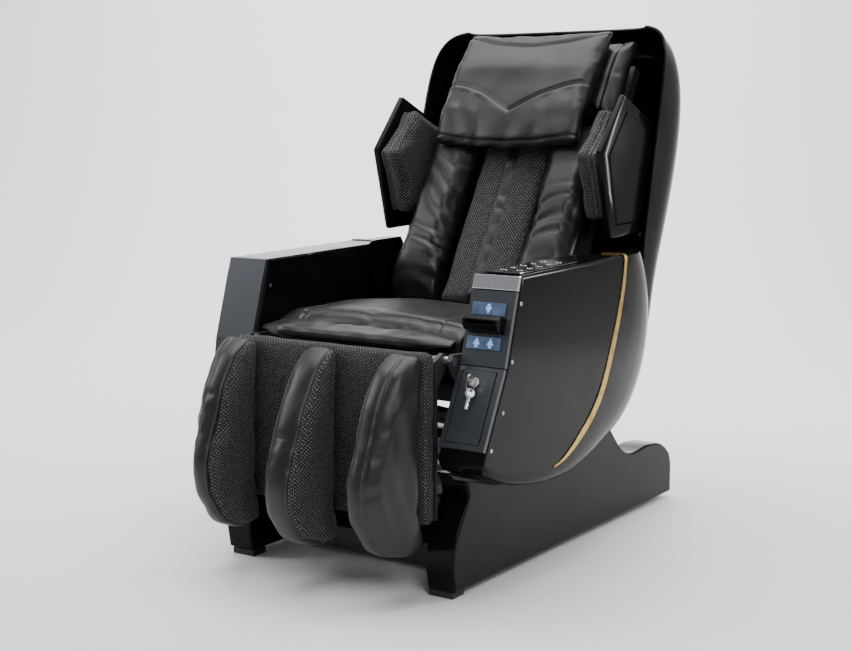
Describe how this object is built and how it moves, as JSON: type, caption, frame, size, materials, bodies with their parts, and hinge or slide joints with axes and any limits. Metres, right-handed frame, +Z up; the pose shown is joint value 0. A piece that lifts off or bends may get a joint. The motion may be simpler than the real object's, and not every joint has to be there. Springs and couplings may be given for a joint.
{
  "type": "coin-operated massage chair",
  "caption": "Pay-to-use massage recliner in gloss black: gold arm stripes, banknote tower with cash door on one arm, reclining padded back with shoulder wings, lifting leg rest.",
  "frame": {"origin": "on the floor under the middle of the chair's bounding box", "axes": "+Z up, the sitter faces -Y, the sitter's left is +X"},
  "size_m": [0.7648, 1.2446, 1.1802],
  "materials": {
    "black_leather": "soft black faux leather, fine grain, semi-matt",
    "brass": "nickel brass",
    "display": "lit blue display window",
    "gloss_black": "high-gloss piano black lacquer with clear coat",
    "gold_trim": "satin gold trim",
    "matte_black": "matt black moulded plastic",
    "mesh_fabric": "black knitted spacer mesh with fine light specks",
    "painted_steel": "black powder-coated steel",
    "panel_glass": "smooth glossy dark panel",
    "polished_metal": "polished bright metal",
    "rubber": "black moulded rubber",
    "satin_grey": "fine satin dark blue-grey powder coat",
    "steel": "plain bright steel"
  },
  "bodies": {
    "chair_body": {"base_frame": "painted_steel", "left_base_cover": "gloss_black", "right_base_cover": "gloss_black", "left_front_foot": "rubber", "left_rear_foot": "rubber", "right_front_foot": "rubber", "right_rear_foot": "rubber", "wheel_axle": "steel", "seat_frame": "painted_steel", "seat_cushion": "black_leather", "seat_flap": "black_leather", "underbody_shell": "matte_black", "power_box": "matte_black", "air_pump": "matte_black", "power_inlet": "matte_black", "recline_shaft": "steel", "leg_pivot_shaft": "steel", "left_arm_shell": "gloss_black", "right_arm_shell": "gloss_black", "left_gold_strip": "gold_trim", "right_gold_strip": "gold_trim", "right_arm_panel": "satin_grey", "tower_bevel": "polished_metal", "tower_panel": "satin_grey", "upper_display": "display", "lower_display": "display", "bill_acceptor": "matte_black", "door_frame": "satin_grey", "cash_box": "steel", "control_panel": "panel_glass"},
    "left_wheel_body": {"left_wheel": "rubber"},
    "right_wheel_body": {"right_wheel": "rubber"},
    "power_rocker": {"power_switch": "rubber"},
    "back": {"back_frame": "painted_steel", "back_shell": "gloss_black", "back_mesh_panel": "mesh_fabric", "left_bolster": "black_leather", "right_bolster": "black_leather", "head_pad": "black_leather", "left_wing_shell": "gloss_black", "right_wing_shell": "gloss_black", "left_wing_pad": "mesh_fabric", "right_wing_pad": "mesh_fabric"},
    "screw": {"lead_screw": "steel"},
    "carriage": {"massage_carriage": "matte_black"},
    "left_knead": {"left_kneading_head": "steel"},
    "right_knead": {"right_kneading_head": "steel"},
    "pillow": {"head_pillow": "black_leather"},
    "leg_rest": {"leg_frame": "painted_steel", "calf_backing_pad": "mesh_fabric", "left_leg_pad": "black_leather", "middle_leg_pad": "black_leather", "right_leg_pad": "black_leather"},
    "leg_tube": {"leg_actuator_tube": "matte_black"},
    "leg_push": {"leg_actuator_rod": "steel"},
    "recline_tube": {"recline_actuator_tube": "matte_black"},
    "recline_push": {"recline_actuator_rod": "steel"},
    "door": {"cash_door": "satin_grey"},
    "lock": {"cam_lock": "steel", "key": "brass"}
  },
  "joints": [
    {"name": "back_recline", "type": "hinge", "parent": "chair_body", "child": "back", "pos_m": [0, 0.075, 0.5], "axis": [-1, 0, 0], "range_deg": [0, 30]},
    {"name": "leg_lift", "type": "hinge", "parent": "chair_body", "child": "leg_rest", "pos_m": [0, -0.376, 0.478], "axis": [-1, 0, 0], "range_deg": [0, 80]},
    {"name": "pillow_flip", "type": "hinge", "parent": "back", "child": "pillow", "pos_m": [0, 0.43888, 1.15825], "axis": [-1, 0, 0], "range_deg": [0, 100]},
    {"name": "carriage_travel", "type": "slide", "parent": "back", "child": "carriage", "axis": [0, 0.5, 0.866], "range_m": [-0.2, 0.24]},
    {"name": "screw_turn", "type": "hinge", "parent": "back", "child": "screw", "pos_m": [0, 0.19624, 0.43], "axis": [0, 0.5, 0.866], "range_deg": [-1450, 1740]},
    {"name": "left_knead", "type": "hinge", "parent": "carriage", "child": "left_knead", "pos_m": [0.052, 0.32487, 0.73679], "axis": [1, 0, 0], "range_deg": [-5, 5]},
    {"name": "right_knead", "type": "hinge", "parent": "carriage", "child": "right_knead", "pos_m": [-0.052, 0.32487, 0.73679], "axis": [1, 0, 0], "range_deg": [-5, 5]},
    {"name": "leg_tube_swing", "type": "hinge", "parent": "chair_body", "child": "leg_tube", "pos_m": [0.06, 0.0994, 0.2394], "axis": [-1, 0, 0], "range_deg": [0, 4]},
    {"name": "leg_push_out", "type": "slide", "parent": "leg_tube", "child": "leg_push", "axis": [0, -0.9582, 0.286], "range_m": [0, 0.13]},
    {"name": "recline_tube_swing", "type": "hinge", "parent": "chair_body", "child": "recline_tube", "pos_m": [-0.06, -0.2192, 0.345], "axis": [-1, 0, 0], "range_deg": [0, 2]},
    {"name": "recline_push_in", "type": "slide", "parent": "recline_tube", "child": "recline_push", "axis": [0, 0.9878, 0.1556], "range_m": [-0.06, 0]},
    {"name": "left_wheel_spin", "type": "hinge", "parent": "chair_body", "child": "left_wheel_body", "pos_m": [0.266, 0.505, 0.04], "axis": [1, 0, 0], "continuous": true},
    {"name": "right_wheel_spin", "type": "hinge", "parent": "chair_body", "child": "right_wheel_body", "pos_m": [-0.266, 0.505, 0.04], "axis": [1, 0, 0], "continuous": true},
    {"name": "power_rock", "type": "hinge", "parent": "chair_body", "child": "power_rocker", "pos_m": [0.027, 0.5065, 0.105], "axis": [1, 0, 0], "range_deg": [-6, 6]},
    {"name": "door_swing", "type": "hinge", "parent": "chair_body", "child": "door", "pos_m": [0.36, -0.39769, 0.39335], "axis": [0, 0.454, 0.891], "range_deg": [0, 100]},
    {"name": "lock_turn", "type": "hinge", "parent": "door", "child": "lock", "pos_m": [0.322, -0.37499, 0.4379], "axis": [0, 0.891, -0.454], "range_deg": [0, 90]}
  ],
  "couplings": [
    {"joint": "screw_turn", "follows": "carriage_travel", "rad_per_m": 125.66},
    {"joint": "right_knead", "follows": "left_knead", "ratio": -1},
    {"joint": "leg_tube_swing", "follows": "leg_lift", "ratio": 0.0426},
    {"joint": "leg_push_out", "follows": "leg_lift", "m_per_rad": 0.0875},
    {"joint": "recline_tube_swing", "follows": "back_recline", "ratio": 0.0479},
    {"joint": "recline_push_in", "follows": "back_recline", "m_per_rad": -0.1118}
  ]
}
